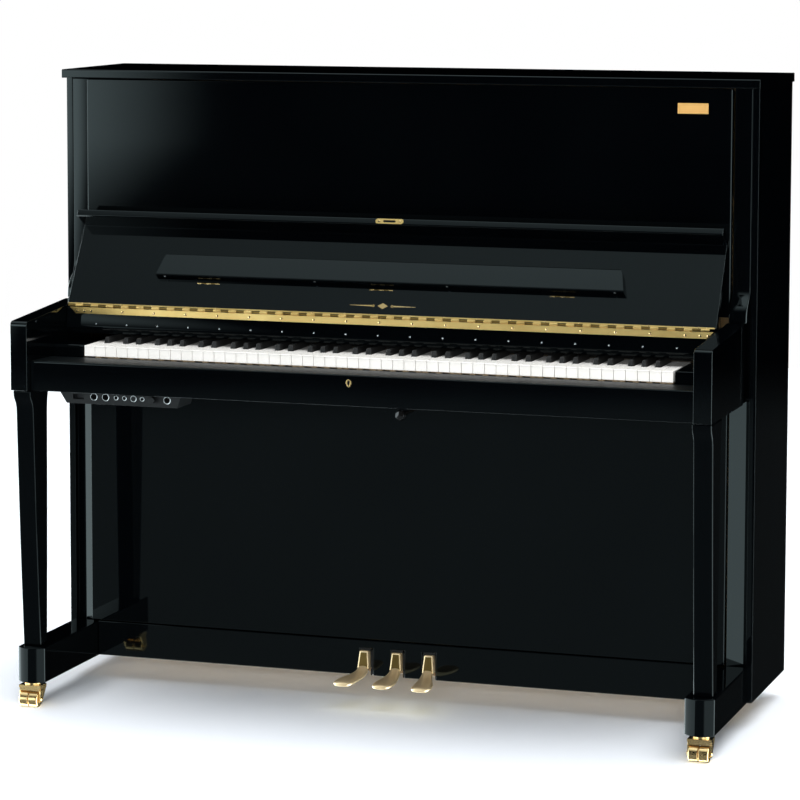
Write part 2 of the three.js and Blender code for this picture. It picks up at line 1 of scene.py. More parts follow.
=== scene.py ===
"""Upright piano: the visual model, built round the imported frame.

The builders below take millimetres, and the objects they make are in metres."""

import json
import math

import bmesh
import bpy
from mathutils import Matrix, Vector


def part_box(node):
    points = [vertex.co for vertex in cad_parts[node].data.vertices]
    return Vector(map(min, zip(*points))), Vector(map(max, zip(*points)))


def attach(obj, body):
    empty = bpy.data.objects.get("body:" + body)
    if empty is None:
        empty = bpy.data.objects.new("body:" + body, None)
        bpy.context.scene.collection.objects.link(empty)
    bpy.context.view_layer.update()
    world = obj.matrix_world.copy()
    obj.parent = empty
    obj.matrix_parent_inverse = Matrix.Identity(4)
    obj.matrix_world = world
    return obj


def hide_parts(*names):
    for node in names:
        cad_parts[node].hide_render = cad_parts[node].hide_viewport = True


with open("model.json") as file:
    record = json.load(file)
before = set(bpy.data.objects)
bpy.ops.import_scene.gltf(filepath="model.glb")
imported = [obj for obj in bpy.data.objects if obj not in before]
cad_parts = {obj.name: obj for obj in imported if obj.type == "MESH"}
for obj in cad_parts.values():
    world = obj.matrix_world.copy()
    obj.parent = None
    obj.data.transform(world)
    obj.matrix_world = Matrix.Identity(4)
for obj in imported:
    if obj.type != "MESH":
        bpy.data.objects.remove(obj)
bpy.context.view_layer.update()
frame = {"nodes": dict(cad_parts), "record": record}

SCALE = 0.001
X_AXIS, Y_AXIS, Z_AXIS = 0, 1, 2


# ---------------------------------------------------------------- helpers
def cad_box(node):
    """Lowest and highest corner of a CAD node, in millimetres."""
    lo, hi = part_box(node)
    return [c / SCALE for c in lo], [c / SCALE for c in hi]


def place(axis, a, b, c):
    """A point from a profile's (a, b) and its position c along axis."""
    if axis == X_AXIS:
        return Vector((c, a, b))
    if axis == Y_AXIS:
        return Vector((a, c, b))
    return Vector((a, b, c))


def add_loft(bm, outlines):
    """A closed solid through outlines that have the same number of points, capped at both ends."""
    rings = [[bm.verts.new(Vector(point) * SCALE) for point in outline] for outline in outlines]
    bm.faces.new(rings[0])
    bm.faces.new(rings[-1])
    for near, far in zip(rings, rings[1:]):
        count = len(near)
        for i in range(count):
            j = (i + 1) % count
            bm.faces.new((near[i], near[j], far[j], far[i]))


def add_prism(bm, axis, profile, c0, c1):
    """A closed solid of the profile between two positions along axis."""
    add_loft(bm, [[place(axis, a, b, c) for a, b in profile] for c in (c0, c1)])


def add_box(bm, x0, x1, y0, y1, z0, z1):
    return add_prism(bm, Z_AXIS, [(x0, y0), (x1, y0), (x1, y1), (x0, y1)], z0, z1)


def add_lathe(bm, axis, profile, centre, sides=48):
    """A solid of revolution: its (radius, position) profile starts and ends on the axis, or is closed."""
    rings = []
    for radius, along in profile:
        if radius < 1e-6:
            rings.append([bm.verts.new(turned(axis, 0, 0, along, centre))])
            continue
        ring = []
        for k in range(sides):
            angle = 2 * math.pi * k / sides
            u, v = radius * math.cos(angle), radius * math.sin(angle)
            ring.append(bm.verts.new(turned(axis, u, v, along, centre)))
        rings.append(ring)
    for low, high in zip(rings, rings[1:]):
        for k in range(sides):
            n = (k + 1) % sides
            corners = [low[k % len(low)], low[n % len(low)], high[n % len(high)], high[k % len(high)]]
            unique = list(dict.fromkeys(corners))
            if len(unique) > 2:
                bm.faces.new(unique)


def turned(axis, u, v, along, centre):
    if axis == X_AXIS:
        point = Vector((along, u, v))
    elif axis == Y_AXIS:
        point = Vector((u, along, v))
    else:
        point = Vector((u, v, along))
    return (point + Vector(centre)) * SCALE


def add_bar(bm, axis, radius, start, end, centre, sides=24, edge=0.0):
    """A round bar along axis with softened ends; centre gives the other two coordinates."""
    profile = [(0, start), (radius - edge, start), (radius, start + edge), (radius, end - edge),
               (radius - edge, end), (0, end)]
    add_lathe(bm, axis, profile, centre, sides)


def soften(bm, width, segments=3, angle=32):
    """Rounds every sharp edge, so that polished parts catch a line of light."""
    bmesh.ops.recalc_face_normals(bm, faces=bm.faces)
    limit = math.radians(angle)
    sharp = [e for e in bm.edges if e.is_manifold and e.calc_face_angle(0) > limit]
    bmesh.ops.bevel(bm, geom=sharp, offset=width * SCALE, segments=segments, profile=0.5,
                    affect="EDGES", clamp_overlap=True)


def make(name, bm, material, body, bevel=0.0, segments=3, replaces=None, angle=32):
    """Turns a bmesh into a piece with softened edges that rides on a body."""
    bmesh.ops.recalc_face_normals(bm, faces=bm.faces)
    if bevel:
        soften(bm, bevel, segments, angle)
        bmesh.ops.recalc_face_normals(bm, faces=bm.faces)
    mesh = bpy.data.meshes.new(name)
    bm.to_mesh(mesh)
    bm.free()
    mesh.polygons.foreach_set("use_smooth", [True] * len(mesh.polygons))
    mesh.set_sharp_from_angle(angle=math.radians(40))
    mesh.materials.append(material)
    piece = bpy.data.objects.new(name, mesh)
    bpy.context.scene.collection.objects.link(piece)
    weigh = piece.modifiers.new("normals", "WEIGHTED_NORMAL")
    weigh.keep_sharp = True
    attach(piece, body)
    if replaces:
        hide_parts(*([replaces] if isinstance(replaces, str) else replaces))
    return piece


def body_of(node):
    for body, members in frame["record"]["behaviour"]["bodies"].items():
        if node in members:
            return body
    raise ValueError(node)


def refine(node, material, bevel, segments=3):
    """A fine copy of a CAD node: its flat facets merged and its edges rounded."""
    bm = bmesh.new()
    bm.from_mesh(frame["nodes"][node].data)
    bmesh.ops.remove_doubles(bm, verts=bm.verts, dist=1e-6)
    bmesh.ops.dissolve_limit(bm, angle_limit=math.radians(1.0), verts=bm.verts, edges=bm.edges)
    return make(node + "_shell", bm, material, body_of(node), bevel, segments, node)


# ---------------------------------------------------------------- materials
def node_material(name):
    material = bpy.data.materials.new(name)
    material.use_nodes = True
    tree = material.node_tree
    shader = tree.nodes["Principled BSDF"]
    coords = tree.nodes.new("ShaderNodeTexCoord")
    return material, tree, shader, coords


def noise(tree, coords, scale, detail=4.0, stretch=(1, 1, 1), rough=0.5):
    mapping = tree.nodes.new("ShaderNodeMapping")
    mapping.inputs["Scale"].default_value = stretch
    tree.links.new(coords.outputs["Object"], mapping.inputs["Vector"])
    texture = tree.nodes.new("ShaderNodeTexNoise")
    texture.inputs["Scale"].default_value = scale
    texture.inputs["Detail"].default_value = detail
    texture.inputs["Roughness"].default_value = rough
    tree.links.new(mapping.outputs["Vector"], texture.inputs["Vector"])
    return texture.outputs["Fac"]


def ramp(tree, factor, stops):
    node = tree.nodes.new("ShaderNodeValToRGB")
    elements = node.color_ramp.elements
    while len(elements) < len(stops):
        elements.new(0.5)
    for element, (position, color) in zip(elements, stops):
        element.position = position
        element.color = (*color, 1.0)
    tree.links.new(factor, node.inputs["Fac"])
    return node.outputs["Color"]


def spread(tree, factor, low, high):
    node = tree.nodes.new("ShaderNodeMapRange")
    node.inputs["To Min"].default_value = low
    node.inputs["To Max"].default_value = high
    tree.links.new(factor, node.inputs["Value"])
    return node.outputs["Result"]


def bump(tree, shader, height, strength, distance):
    node = tree.nodes.new("ShaderNodeBump")
    node.inputs["Strength"].default_value = strength
    node.inputs["Distance"].default_value = distance
    tree.links.new(height, node.inputs["Height"])
    tree.links.new(node.outputs["Normal"], shader.inputs["Normal"])


def math_node(tree, operation, first, second=0.0):
    """One arithmetic step; either operand may be a socket or a number."""
    node = tree.nodes.new("ShaderNodeMath")
    node.operation = operation
    for socket, value in zip(node.inputs, (first, second)):
        if isinstance(value, (int, float)):
            socket.default_value = value
        else:
            tree.links.new(value, socket)
    return node.outputs["Value"]


def step(tree, value, start, end, low=0.0, high=1.0):
    """A smooth change from low to high as value goes from start to end, which may be sockets."""
    node = tree.nodes.new("ShaderNodeMapRange")
    node.interpolation_type = "SMOOTHSTEP"
    tree.links.new(value, node.inputs["Value"])
    for name, number in (("From Min", start), ("From Max", end), ("To Min", low), ("To Max", high)):
        if isinstance(number, (int, float)):
            node.inputs[name].default_value = number
        else:
            tree.links.new(number, node.inputs[name])
    return node.outputs["Result"]


def surface(name, dark, light, rough, colour_scale=6.0, fine_scale=300.0, bump_strength=0.05,
            bump_distance=0.0002, metallic=0.0, specular=0.5, stretch=(1, 1, 1), sheen=0.0):
    """A general finish: colour varied by broad noise, roughness and bump by fine noise."""
    material, tree, shader, coords = node_material(name)
    broad = noise(tree, coords, colour_scale, 5.0, stretch)
    fine = noise(tree, coords, fine_scale, 3.0, stretch)
    tree.links.new(ramp(tree, broad, [(0.3, dark), (0.7, light)]), shader.inputs["Base Color"])
    tree.links.new(spread(tree, fine, rough[0], rough[1]), shader.inputs["Roughness"])
    shader.inputs["Metallic"].default_value = metallic
    shader.inputs["Specular IOR Level"].default_value = specular
    shader.inputs["Sheen Weight"].default_value = sheen
    bump(tree, shader, fine, bump_strength, bump_distance)
    return material


def wood(name, dark, light, rough, grain_axis, coat=0.0):
    """Timber with long grain along one axis and fine pores."""
    material, tree, shader, coords = node_material(name)
    long_grain = [14.0, 14.0, 14.0]
    long_grain[grain_axis] = 0.8
    pores = [160.0, 160.0, 160.0]
    pores[grain_axis] = 5.0
    bands = noise(tree, coords, 1.6, 6.0, tuple(long_grain), 0.6)
    fine = noise(tree, coords, 1.0, 3.0, tuple(pores), 0.6)
    mix = tree.nodes.new("ShaderNodeMath")
    mix.operation = "MULTIPLY_ADD"
    mix.inputs[1].default_value = 0.3
    tree.links.new(fine, mix.inputs[0])
    tree.links.new(bands, mix.inputs[2])
    colour = ramp(tree, mix.outputs["Value"], [(0.4, dark), (0.85, light)])
    tree.links.new(colour, shader.inputs["Base Color"])
    tree.links.new(spread(tree, fine, rough[0], rough[1]), shader.inputs["Roughness"])
    shader.inputs["Coat Weight"].default_value = coat
    bump(tree, shader, mix.outputs["Value"], 0.15, 0.0004)
    return material


def lacquer(name, shine, top_rough=None):
    """Polished black polyester: a deep mirror with a faint ripple and hairline haze.

    With top_rough, the faces that look up are rubbed to a satin finish."""
    material, tree, shader, coords = node_material(name)
    cloud = noise(tree, coords, 3.0, 4.0)
    haze = noise(tree, coords, 60.0, 6.0, (1, 1, 3), 0.7)
    ripple = noise(tree, coords, 9.0, 1.0)
    colour = ramp(tree, cloud, [(0.3, (0.0003, 0.0005, 0.0008)), (0.7, (0.0006, 0.0009, 0.0012))])
    tree.links.new(colour, shader.inputs["Base Color"])
    rough = spread(tree, haze, 0.022, 0.06)
    if top_rough:
        geometry = tree.nodes.new("ShaderNodeNewGeometry")
        split = tree.nodes.new("ShaderNodeSeparateXYZ")
        tree.links.new(geometry.outputs["True Normal"], split.inputs["Vector"])
        rough = math_node(tree, "ADD", rough, step(tree, split.outputs["Z"], 0.6, 0.9, 0.0, top_rough))
    tree.links.new(rough, shader.inputs["Roughness"])
    shader.inputs["Specular IOR Level"].default_value = shine
    shader.inputs["Specular Tint"].default_value = (0.88, 1.0, 1.0, 1.0)
    bump(tree, shader, ripple, 0.02, 0.0008)
    return material


def brass_finish(name, dark, light, rough, metallic=1.0):
    """Brass or gilt, faintly brushed along its length."""
    material, tree, shader, coords = node_material(name)
    broad = noise(tree, coords, 14.0, 5.0)
    brushed = noise(tree, coords, 40.0, 3.0, (1, 30, 30))
    fine = noise(tree, coords, 500.0, 2.0)
    tree.links.new(ramp(tree, broad, [(0.25, dark), (0.75, light)]), shader.inputs["Base Color"])
    tree.links.new(spread(tree, brushed, rough[0], rough[1]), shader.inputs["Roughness"])
    shader.inputs["Metallic"].default_value = metallic
    bump(tree, shader, fine, 0.06, 0.0001)
    return material


BLACK = lacquer("black_lacquer", 0.26)
# Black lacquer with its reflection turned down: painted shade for the legs, toe blocks and nameboard.
SHADED_BLACK = lacquer("shaded_black_lacquer", 0.11)
SLIP_BLACK = lacquer("rubbed_black_lacquer", 0.20, 0.42)
BRASS = brass_finish("polished_brass", (0.74, 0.49, 0.20), (0.90, 0.63, 0.33), (0.16, 0.28))
HINGE_BRASS = brass_finish("satin_brass", (0.78, 0.51, 0.175), (0.94, 0.65, 0.25), (0.26, 0.42))
DARK_BRASS = brass_finish("shaded_brass", (0.20, 0.12, 0.035), (0.28, 0.18, 0.055), (0.26, 0.42))
PEDAL_BRASS = brass_finish("pedal_brass", (0.80, 0.60, 0.33), (0.92, 0.72, 0.44), (0.24, 0.36), 0.6)
STEM_SHADE = brass_finish("shaded_stem", (0.11, 0.068, 0.02), (0.16, 0.10, 0.032), (0.26, 0.42))
GOLD_PLATE = surface("matte_gold", (0.62, 0.34, 0.10), (0.72, 0.42, 0.14), (0.42, 0.52),
                     10.0, 900.0, 0.08, 0.0001, metallic=0.45)
IVORY = surface("white_keytop", (0.84, 0.835, 0.80), (0.90, 0.895, 0.87), (0.22, 0.32),
                20.0, 900.0, 0.05, 0.0001)
EBONY = surface("black_keytop", (0.006, 0.006, 0.006), (0.016, 0.016, 0.016), (0.34, 0.48),
                30.0, 700.0, 0.15, 0.0001, specular=0.4, stretch=(4, 1, 4))
PLASTIC = surface("satin_plastic", (0.002, 0.0022, 0.0025), (0.0035, 0.0038, 0.0042), (0.40, 0.54),
                  20.0, 1400.0, 0.2, 0.0001, specular=0.25)
KNOB_BLACK = surface("gloss_knob", (0.002, 0.002, 0.002), (0.005, 0.005, 0.005), (0.04, 0.09),
                     20.0, 300.0, 0.02, 0.0001)
# Near-black painted shade standing in for the dark inside of holes: the keyhole, the strike's slot and the
# socket floors.
HOLE_SHADE = surface("painted_hole_shade", (0.001, 0.001, 0.001), (0.003, 0.003, 0.003), (0.6, 0.8),
               30.0, 500.0, 0.05, specular=0.1)
SILVER = surface("socket_metal", (0.50, 0.51, 0.52), (0.66, 0.67, 0.68), (0.22, 0.34),
                 30.0, 800.0, 0.05, 0.0001, metallic=1.0)
STEEL = surface("drawn_steel", (0.46, 0.47, 0.48), (0.60, 0.61, 0.62), (0.2, 0.32),
                12.0, 400.0, 0.05, 0.0001, metallic=1.0)
COPPER = surface("copper_winding", (0.50, 0.24, 0.12), (0.66, 0.34, 0.18), (0.3, 0.42),
                 12.0, 900.0, 0.4, 0.0002, metallic=1.0, stretch=(1, 1, 8))
PLATE = surface("bronze_plate", (0.42, 0.27, 0.08), (0.56, 0.38, 0.13), (0.32, 0.44),
                8.0, 260.0, 0.35, 0.0004, metallic=0.75)
BLACK_FELT = surface("black_felt", (0.002, 0.002, 0.002), (0.005, 0.005, 0.005), (0.9, 1.0),
                     30.0, 500.0, 0.5, 0.0006, sheen=0.05)
FELT = surface("white_felt", (0.62, 0.60, 0.53), (0.76, 0.74, 0.67), (0.9, 1.0),
               30.0, 500.0, 0.5, 0.0006, sheen=0.4)
TIMBER = wood("back_timber", (0.30, 0.19, 0.10), (0.50, 0.34, 0.19), (0.45, 0.6), Z_AXIS)
TIMBER_X = wood("cross_timber", (0.30, 0.19, 0.10), (0.50, 0.34, 0.19), (0.45, 0.6), X_AXIS)
SPRUCE = wood("spruce_board", (0.60, 0.38, 0.17), (0.78, 0.55, 0.29), (0.3, 0.42), Z_AXIS, 0.3)
KEY_WOOD = wood("key_stick", (0.62, 0.45, 0.26), (0.78, 0.60, 0.38), (0.5, 0.6), Y_AXIS)


# ---------------------------------------------------------------- case
# Parts that get the lacquer whose reflection is turned down as painted shade.
SHADED_ENDINGS = ("_leg", "_toe_block", "nameboard")


def plain_case():
    """The polished panels, with the width that each one's edges are rounded to."""
    rounds = {
        "left_side_panel": 2.6, "right_side_panel": 2.6, "upper_panel": 2.6, "lower_panel": 1.6,
        "bottom_rail": 1.5, "key_bed": 1.2, "nameboard": 1.6,
        "left_key_block": 2.2, "right_key_block": 2.2, "left_toe_block": 2.6, "right_toe_block": 2.6,
        "left_column": 2.4, "right_column": 2.4, "left_arm": 2.8, "right_arm": 2.8,
        "left_leg": 2.6, "right_leg": 2.6, "top_lid": 2.6, "fallboard": 2.2, "music_desk": 2.0,
    }
    for node, width in rounds.items():
        refine(node, SHADED_BLACK if node.endswith(SHADED_ENDINGS) else BLACK, width)
    refine("key_slip", SLIP_BLACK, 2.0)


# ---------------------------------------------------------------- keys
WHITE_COUNT = 52
PITCH = 23.85
KEY_GAP = 0.9
KEYS_LEFT = -WHITE_COUNT * PITCH / 2
WHITE_STEP = 50
WHITE_END, BLACK_END = -44.2, -46.0
COVER = 2.6
LOWEST, HIGHEST = 9, 96
MIDDLE = range(48, 60)
WHITE_NOTES = [0, 2, 4, 5, 7, 9, 11]
NOTE_NAMES = ["c", "c_sharp", "d", "d_sharp", "e", "f", "f_sharp", "g", "g_sharp", "a", "a_sharp", "b"]


def octave_left(note):
    """Left edge of the octave that the note is in."""
    return KEYS_LEFT + (7 * (note // 12) - 5) * PITCH


def tail_span(note):
    """Left and right edge of the note behind the black keys' fronts, where all twelve share the width."""
    n = note % 12
    low, high = 3 * PITCH / 5, 4 * PITCH / 7
    start = n * low if n < 5 else 3 * PITCH + (n - 5) * high
    width = low if n < 5 else high
    left = octave_left(note) + start
    return left + KEY_GAP / 2, left + width - KEY_GAP / 2


def white_outline(note, front, back, step):
    """A white key from above: a full-width head and a narrower tail, less at the keyboard's ends."""
    index = WHITE_NOTES.index(note % 12)
    h0 = octave_left(note) + index * PITCH + KEY_GAP / 2
    h1 = h0 + PITCH - KEY_GAP
    t0, t1 = tail_span(note)
    n0 = h0 if note == LOWEST else t0
    n1 = h1 if note == HIGHEST else t1
    points = [(h0, front), (h1, front), (h1, step), (n1, step),
              (n1, back), (n0, back), (n0, step), (h0, step)]
    return [p for i, p in enumerate(points) if p != points[i - 1]]


def key_limits():
    """Front, back, underside and top of a white key."""
    lo, hi = cad_box("key_c4")
    return lo[1], hi[1], lo[2], hi[2]


def add_white(bm, note):
    front, _, _, top = key_limits()
    step = front + WHITE_STEP
    add_prism(bm, Z_AXIS, white_outline(note, front, WHITE_END, step), top - COVER, top)
    add_prism(bm, Z_AXIS, white_outline(note, front + 1.0, WHITE_END, step), top - 22, top - COVER)


def add_black(bm, note):
    """A black cap with a sloping front and sides."""
    t0, t1 = tail_span(note)
    lo, hi = cad_box("key_c_sharp4")
    front, top, base = lo[1], hi[2], key_limits()[3] - 6
    outlines = []
    for inset, setback, z in ((0.8, 0, base), (1.9, 6.5, top)):
        near = front + setback
        left, right = t0 + inset, t1 - inset
        outlines.append([(left, near, z), (right, near, z), (right, BLACK_END, z), (left, BLACK_END, z)])
    add_loft(bm, outlines)


def add_stick(bm, note):
    """The wooden lever under a key's cap or cover."""
    t0, t1 = tail_span(note)
    black = note % 12 not in WHITE_NOTES
    start = cad_box("key_c_sharp4")[0][1] + 1 if black else key_limits()[0] + 42
    lo, hi = cad_box("key_c4")
    add_box(bm, t0 + 0.4, t1 - 0.4, start, hi[1], lo[2] + 0.2, lo[2] + 15.8)


def key_group(name, notes, node, black):
    """One CAD key or bank of keys: its caps or covers, and its sticks."""
    caps = bmesh.new()
    sticks = bmesh.new()
    for note in notes:
        (add_black if black else add_white)(caps, note)
        add_stick(sticks, note)
    body = body_of(node)
    if black:
        make(name + "_caps", caps, EBONY, body, 1.6, 3, node, angle=25)
    else:
        make(name + "_covers", caps, IVORY, body, 0.7, 2, node)
    make(name + "_sticks", sticks, KEY_WOOD, body, 0.5, 1)


def keyboard():
    banks = {"bass": range(LOWEST, MIDDLE[0]), "treble": range(MIDDLE[-1] + 1, HIGHEST + 1)}
    for bank, notes in banks.items():
        whites = [n for n in notes if n % 12 in WHITE_NOTES]
        blacks = [n for n in notes if n % 12 not in WHITE_NOTES]
        key_group(bank + "_white", whites, bank + "_white_keys", False)
        key_group(bank + "_black", blacks, bank + "_black_keys", True)
    for note in MIDDLE:
        label = NOTE_NAMES[note % 12]
        key_group("middle_" + label, [note], "key_" + label + "4", note % 12 not in WHITE_NOTES)


# ---------------------------------------------------------------- hardware
HINGE_Y, HINGE_Z, LEAN = -124.0, 815.0, 0.53
FALL_LENGTH = 184


def on_board(s, t):
    """(y, z) of a point s up the open fallboard from its hinge and t towards the player."""
    return (HINGE_Y + s * math.sin(LEAN) - t * math.cos(LEAN),
            HINGE_Z + s * math.cos(LEAN) + t * math.sin(LEAN))


def board_point(x, s, t):
    y, z = on_board(s, t)
    return Vector((x, y, z))


def add_disc(bm, centre, normal, radius, height, sides=16, dome=0.0):
    """A short round head standing on a surface; dome lifts its middle."""
    normal = normal.normalized()
    side = normal.cross(Vector((1, 0, 0)) if abs(normal.x) < 0.9 else Vector((0, 1, 0))).normalized()
    other = normal.cross(side)
    rings = []
    for r, h in ((radius, 0), (radius, height * 0.6), (radius * 0.75, height)):
        angles = [2 * math.pi * k / sides for k in range(sides)]
        points = [centre + side * (r * math.cos(a)) + other * (r * math.sin(a)) + normal * h for a in angles]
        rings.append([bm.verts.new(point * SCALE) for point in points])
    bm.faces.new(rings[0])
    for low, high in zip(rings, rings[1:]):
        for k in range(sides):
            n = (k + 1) % sides
            bm.faces.new((low[k], low[n], high[n], high[k]))
    top = bm.verts.new((centre + normal * (height + dome)) * SCALE)
    for k in range(sides):
        bm.faces.new((rings[2][k], rings[2][(k + 1) % sides], top))


FORWARD = Vector((0, -1, 0))
OFF_BOARD = board_point(0, 0, 1) - board_point(0, 0, 0)


def fallboard_hinge():
    """A narrow upper leaf, knuckles of alternate leaves, and a screwed lower leaf with clipped ends."""
    half, knuckle, radius, clip = 685.0, 17.0, 3.0, 16
    face, top, bottom = -120.7, HINGE_Z - 3.2, HINGE_Z - 17.0
    upper = bmesh.new()
    lower = bmesh.new()
    outline = [on_board(2.6, 0.4), on_board(5.8, 0.4), on_board(5.8, 2.0), on_board(2.6, 2.0)]
    add_prism(upper, X_AXIS, outline, -half, half)
    leaf = [(-half + 2, top), (-half + clip, bottom), (half - clip, bottom), (half - 2, top)]
    add_prism(lower, Y_AXIS, leaf, face - 1.6, face)
    recessed = bmesh.new()
    for i in range(int(2 * half / knuckle)):
        x0 = -half + i * knuckle
        moving = i % 2 == 1
        add_bar(upper if moving else recessed, X_AXIS, radius if moving else radius - 0.9,
                x0 + 0.2, x0 + knuckle - 0.2, (0, HINGE_Y, HINGE_Z), 16, 0.4)
    upper_screws = bmesh.new()
    lower_screws = bmesh.new()
    screw_z = (top + bottom) / 2 - 1
    for x in hinge_screw_places(half, clip):
        add_disc(upper_screws, board_point(x, 4.5, 1.9), OFF_BOARD, 1.4, 0.6, dome=0.3)
        add_disc(lower_screws, Vector((x + 3, face - 1.5, screw_z)), FORWARD, 2.9, 0.9, dome=0.8)
    make("hinge_upper_leaf", upper, HINGE_BRASS, "fallboard", 0.3, 1, "fallboard_hinge")
    make("hinge_lower_leaf", lower, HINGE_BRASS, "case", 0.3, 1)
    make("hinge_fixed_knuckles", recessed, DARK_BRASS, "case", 0.3, 1)
    make("hinge_upper_screws", upper_screws, BRASS, "fallboard")
    make("hinge_lower_screws", lower_screws, BRASS, "case")


def hinge_screw_places(half, clip, pitch=70):
    """Screws stand close together at the hinge's ends and evenly between them."""
    places = [-half + clip + clip * k for k in range(3)]
    while places[-1] < half - 80:
        places.append(places[-1] + pitch)
    return places + [half - clip - clip * k for k in range(2)]


def nameboard_trim():
    """Felt that closes the gap behind the keys, and the small screws along the nameboard's nose."""
    lo, hi = cad_box("nameboard")
    felt = bmesh.new()
    key_top = key_limits()[3]
    reach = cad_box("treble_white_keys")[1][0]
    add_box(felt, -reach, reach, -41.0, hi[1] - 2.0, key_top + 1.5, lo[2] + 0.5)
    make("key_stop_felt", felt, BLACK_FELT, "case", 0.6, 2)
    screws = bmesh.new()
    pitch, first, last, screw_z = 68.5, -622.0, 650.0, 778.0
    across_nose = Vector((0, -1, 0.27))
    x = first
    while x < last:
        add_disc(screws, Vector((x, lo[1] + 1.4, screw_z)), across_nose, 1.7, 0.7, dome=0.4)
        x += pitch
    make("nameboard_screws", screws, STEEL, "case")


def stadium(half_length, half_height, steps=8):
    """Outline of a bar with round ends, centred on zero."""
    points = []
    for side in (1, -1):
        for k in range(steps + 1):
            angle = math.pi * (k / steps - 0.5)
            points.append((side * (half_length - half_height + half_height * math.cos(angle)),
                           side * half_height * math.sin(angle)))
    return points


def lock_strike():
    """Brass plate let into the fallboard's lip, with a near-black sheet of painted shade where its slot is.
    """
    plate = bmesh.new()
    slot = bmesh.new()
    screws = bmesh.new()
    mid = FALL_LENGTH + 7.5
    for target, length, height, t0, t1 in ((plate, 30, 5.6, 47.9, 48.8), (slot, 13, 2.4, 48.5, 48.95)):
        ring = stadium(length, height)
        add_loft(target, [[board_point(x, mid + h, t) for x, h in ring] for t in (t0, t1)])
    for x in (-22, 22):
        add_disc(screws, board_point(x, mid, 48.7), OFF_BOARD, 2.6, 0.6, dome=0.3)
    make("lock_strike_plate", plate, HINGE_BRASS, "fallboard", 0.3, 2)
    # The slot is a flat near-black sheet: painted shade in place of a hole.
    make("lock_strike_slot_shade", slot, HOLE_SHADE, "fallboard")
    make("lock_strike_screws", screws, BRASS, "fallboard")


def keyhole():
    """Escutcheon of the fallboard lock on the front of the key slip, with a flat plug of painted shade in
    its opening.
    """
    face = cad_box("key_slip")[0][1]
    x, z = -5.0, 706.0
    ring = bmesh.new()
    sides = 40
    outer, inner = [], []
    for k in range(sides):
        angle = 2 * math.pi * k / sides
        drop = 1.0 if math.sin(angle) > -0.2 else 1.55
        narrow = 1.0 if math.sin(angle) > -0.35 else 0.82
        outer.append((x + 6.2 * narrow * math.cos(angle), z + 6.2 * drop * math.sin(angle)))
        inner.append((x + 3.4 * narrow * 0.8 * math.cos(angle), z + 3.9 * drop * math.sin(angle)))
    loops = []
    for outline, y in ((outer, face + 0.5), (outer, face - 1.2), (inner, face - 1.2), (inner, face + 0.5)):
        loops.append([ring.verts.new(Vector((px, y, pz)) * SCALE) for px, pz in outline])
    for a, b in zip(loops, loops[1:] + loops[:1]):
        for k in range(sides):
            n = (k + 1) % sides
            ring.faces.new((a[k], a[n], b[n], b[k]))
    make("keyhole_escutcheon", ring, BRASS, "case", 0.35, 2)
    # The keyhole is a flat near-black plug: painted shade in place of a hole.
    hole = bmesh.new()
    add_prism(hole, Y_AXIS, inner, face - 0.3, face + 0.4)
    make("keyhole_painted_shade", hole, HOLE_SHADE, "case")


def nameplate():
    """Blank brass plate near the top right of the upper panel."""
    face = cad_box("upper_panel")[0][1]
    x, z = 611.0, 1241.0
    plate = bmesh.new()
    add_box(plate, x - 31, x + 31, face - 1.2, face + 0.3, z - 10.5, z + 10.5)
    make("blank_plate", plate, GOLD_PLATE, "case", 0.4, 2)
    rim = bmesh.new()
    for x0, x1, z0, z1 in ((x - 28, x + 28, z + 7.6, z + 8.2), (x - 28, x + 28, z - 8.2, z - 7.6),
                           (x - 28, x - 27.4, z - 8.2, z + 8.2), (x + 27.4, x + 28, z - 8.2, z + 8.2)):
        add_box(rim, x0, x1, face - 1.45, face - 1.1, z0, z1)
    make("blank_plate_border", rim, HINGE_BRASS, "case")


def inlay():
    """Plain gold ornament on the fallboard: a lozenge between two tapered lines."""
    bm = bmesh.new()
    mid = 25.0

    def flat(points):
        add_loft(bm, [[board_point(x, mid + h, t) for x, h in points] for t in (0.0, 0.45)])

    flat([(-11, 0), (0, 6.5), (11, 0), (0, -6.5)])
    for side in (-1, 1):
        flat([(side * 17, 1.7), (side * 70, 0.3), (side * 70, -0.3), (side * 17, -1.7)])
        flat([(side * 17, 0), (side * 20, 3.4), (side * 23, 0), (side * 20, -3.4)])
    make("fallboard_inlay", bm, BRASS, "fallboard")


def desk_hardware():
    """Three hinges let into the fallboard at the foot of the music desk, and four bumpers under the desk."""
    leaves = bmesh.new()
    pins = bmesh.new()
    y, z = on_board(60.8, -2.7)
    knuckles, knuckle, gap = 5, 10, 0.3
    for x in (-384, -9, 370):
        start = x - knuckles * knuckle / 2
        for k in range(knuckles):
            low = start + k * knuckle
            pin = k % 2 == 1
            radius = 3.0 if pin else 3.2
            add_bar(pins if pin else leaves, X_AXIS, radius, low, low + knuckle - gap, (0, y, z), 24)
    make("desk_hinge_knuckles", leaves, BRASS, "fallboard")
    make("desk_hinge_pins", pins, DARK_BRASS, "fallboard")
    bumpers = bmesh.new()
    down = board_point(0, -1, 0.12) - board_point(0, 0, 0)
    for x in (-478, -150, 132, 478):
        add_disc(bumpers, board_point(x, 68.2, 10.8), down, 2.6, 0.7, dome=0.3)
    make("desk_bumpers", bumpers, SILVER, "music_desk")


